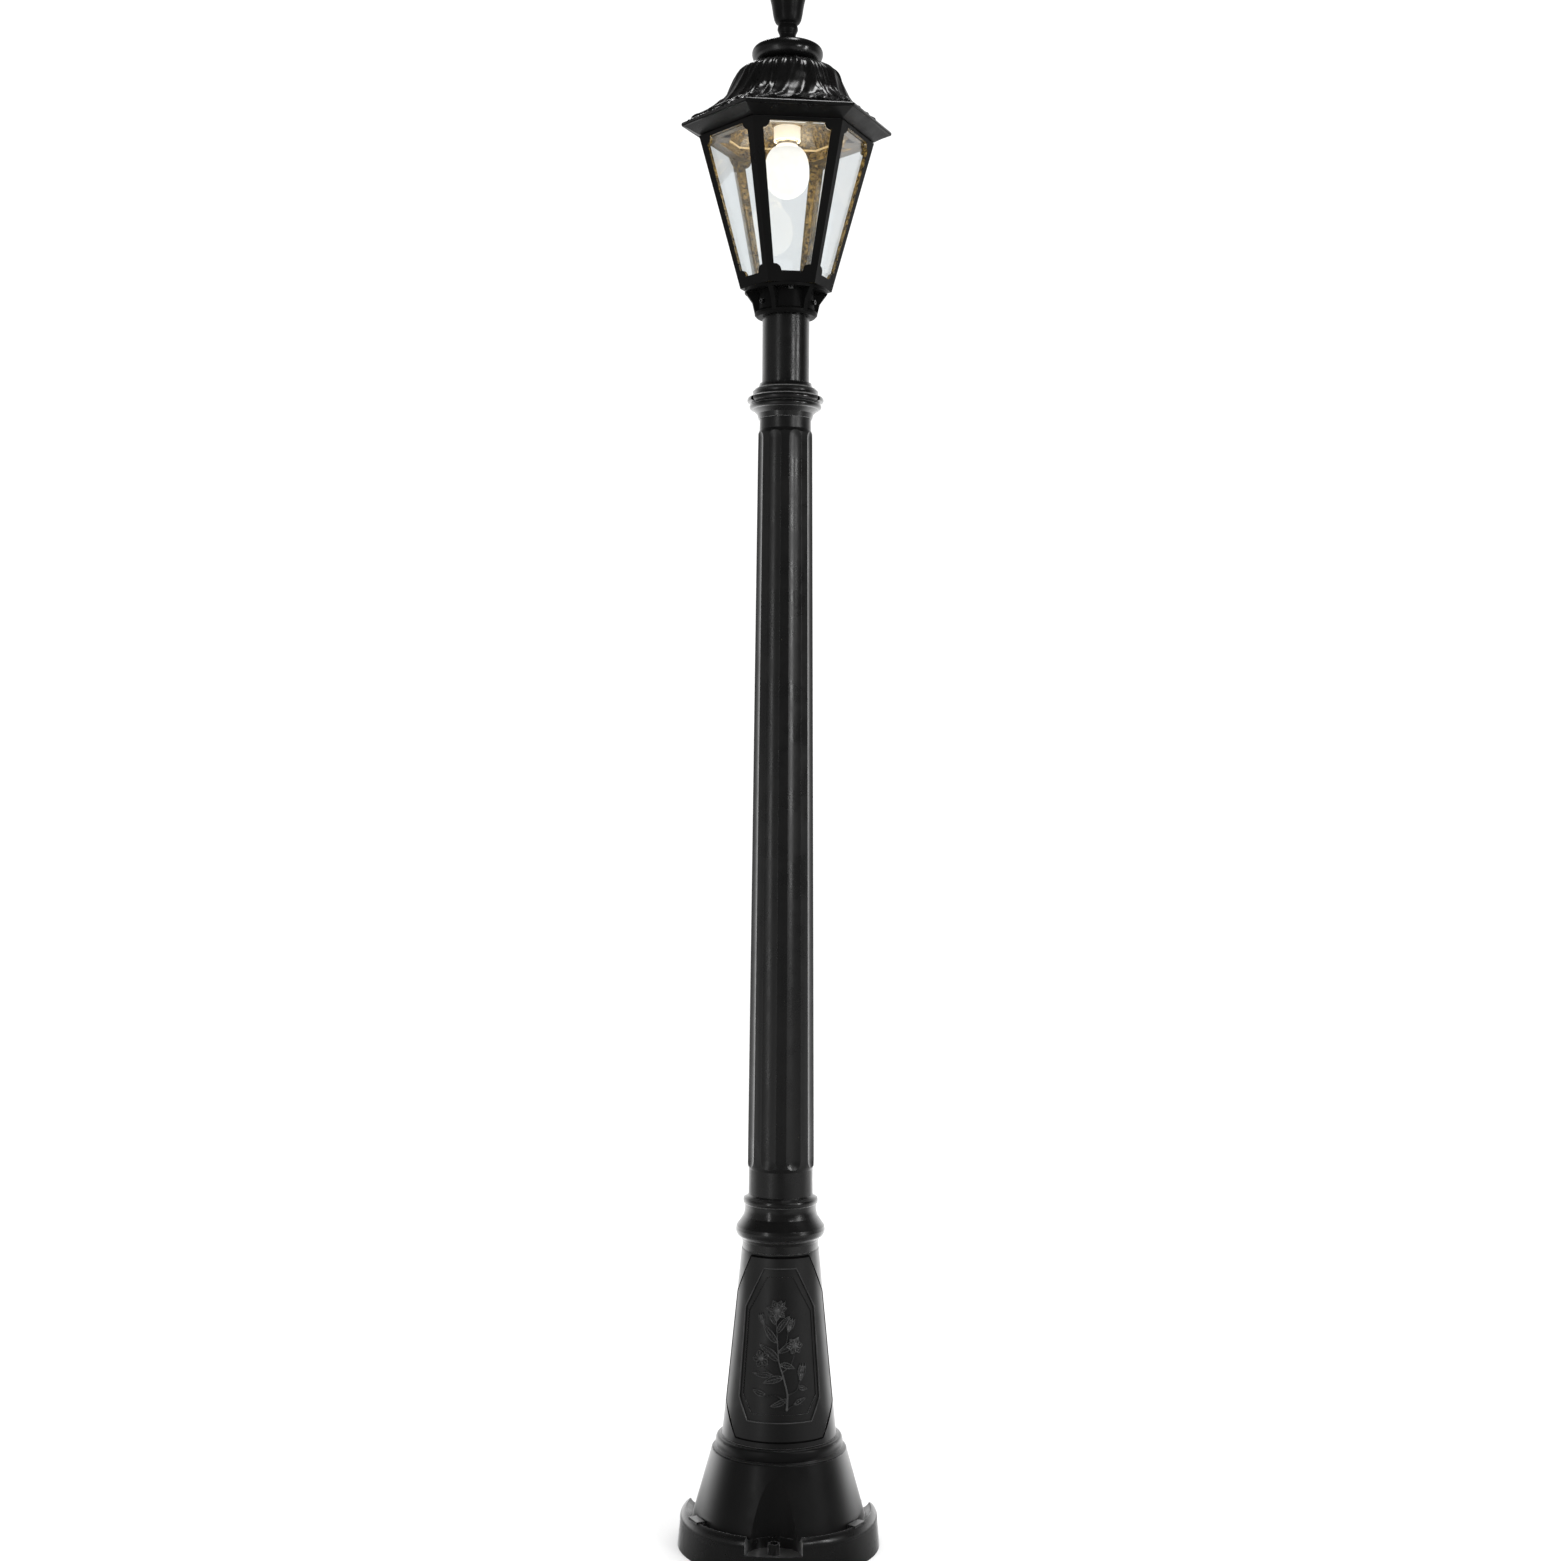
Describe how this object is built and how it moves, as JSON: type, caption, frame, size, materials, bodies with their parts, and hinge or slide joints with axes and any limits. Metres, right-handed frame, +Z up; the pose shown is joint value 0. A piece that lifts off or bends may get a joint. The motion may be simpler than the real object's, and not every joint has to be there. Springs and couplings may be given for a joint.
{
  "type": "garden lamp post",
  "caption": "Tapered fluted garden lamp post with a round foot, panelled pedestal, moulded collars and a six-sided glazed lantern that turns on the post and opens at the roof",
  "frame": {"origin": "centre of the foot on the ground", "axes": "+Z up along the post, -Y towards the front notch and the front panel, +X to the right seen from the front"},
  "size_m": [0.2688, 0.258, 2.0182],
  "materials": {
    "black_casting": "satin black powder coat with a fine grain",
    "lantern_casting": "satin black powder coat on die-cast aluminium",
    "black_steel": "black painted steel",
    "zinc_steel": "zinc plated steel",
    "black_rubber": "matt rubber",
    "white_plastic": "moulded white plastic",
    "cream_plastic": "moulded heat-resistant plastic",
    "black_plastic": "black insulator",
    "brass": "bright brass",
    "bright_aluminium": "rolled thread, bright",
    "opal_glass": "opal glass, lit",
    "clear_pane": "clear glazing"
  },
  "bodies": {
    "post": {"foot_flange": "black_casting", "anchor_bushes": "black_steel", "base_skirt": "black_casting", "pedestal_shell": "black_casting", "lower_collar": "black_casting", "fluted_shaft": "black_casting", "upper_collar": "black_casting", "collar_screws": "black_steel", "inner_tube": "black_steel", "tube_flange": "black_steel", "flange_screws": "zinc_steel"},
    "lantern": {"fitter_collar": "lantern_casting", "fitter_screws": "black_steel", "tube_grommet": "black_rubber", "frame_screws": "black_steel", "lantern_frame": "lantern_casting", "lantern_floor": "lantern_casting", "terminal_block": "white_plastic", "lamp_bracket": "zinc_steel", "bracket_screws": "zinc_steel", "roof_stud": "zinc_steel", "stud_nuts": "zinc_steel", "holder_cap": "cream_plastic", "holder_ring": "cream_plastic", "holder_body": "cream_plastic", "screw_shell": "brass", "holder_contact": "brass", "pane_1": "clear_pane", "pane_2": "clear_pane", "pane_3": "clear_pane", "pane_4": "clear_pane", "pane_5": "clear_pane", "pane_6": "clear_pane", "roof_seal": "black_rubber"},
    "roof": {"roof_shell": "lantern_casting", "cap_disc": "lantern_casting"},
    "washer": {"finial_washer": "zinc_steel"},
    "finial": {"finial": "lantern_casting", "finial_insert": "brass"},
    "bulb": {"bulb_glass": "opal_glass", "bulb_cap": "bright_aluminium", "bulb_insulator": "black_plastic", "bulb_contact": "brass"}
  },
  "joints": [
    {"name": "lantern_swivel", "type": "hinge", "parent": "post", "child": "lantern", "pos_m": [0, 0, 1.585], "axis": [0, 0, 1], "range_deg": [-180, 180]},
    {"name": "roof_lift", "type": "slide", "parent": "lantern", "child": "roof", "axis": [0, 0, 1], "range_m": [0, 0.12]},
    {"name": "finial_rise", "type": "slide", "parent": "roof", "child": "washer", "axis": [0, 0, 1], "range_m": [0, 0.0075]},
    {"name": "finial_turn", "type": "hinge", "parent": "washer", "child": "finial", "pos_m": [0, 0, 1.95], "axis": [0, 0, 1], "range_deg": [0, 1800]},
    {"name": "bulb_turn", "type": "hinge", "parent": "lantern", "child": "bulb", "pos_m": [0, 0, 1.8], "axis": [0, 0, 1], "range_deg": [-1620, 0]}
  ],
  "couplings": [
    {"joint": "finial_rise", "follows": "finial_turn", "m_per_rad": 0.00023873}
  ]
}
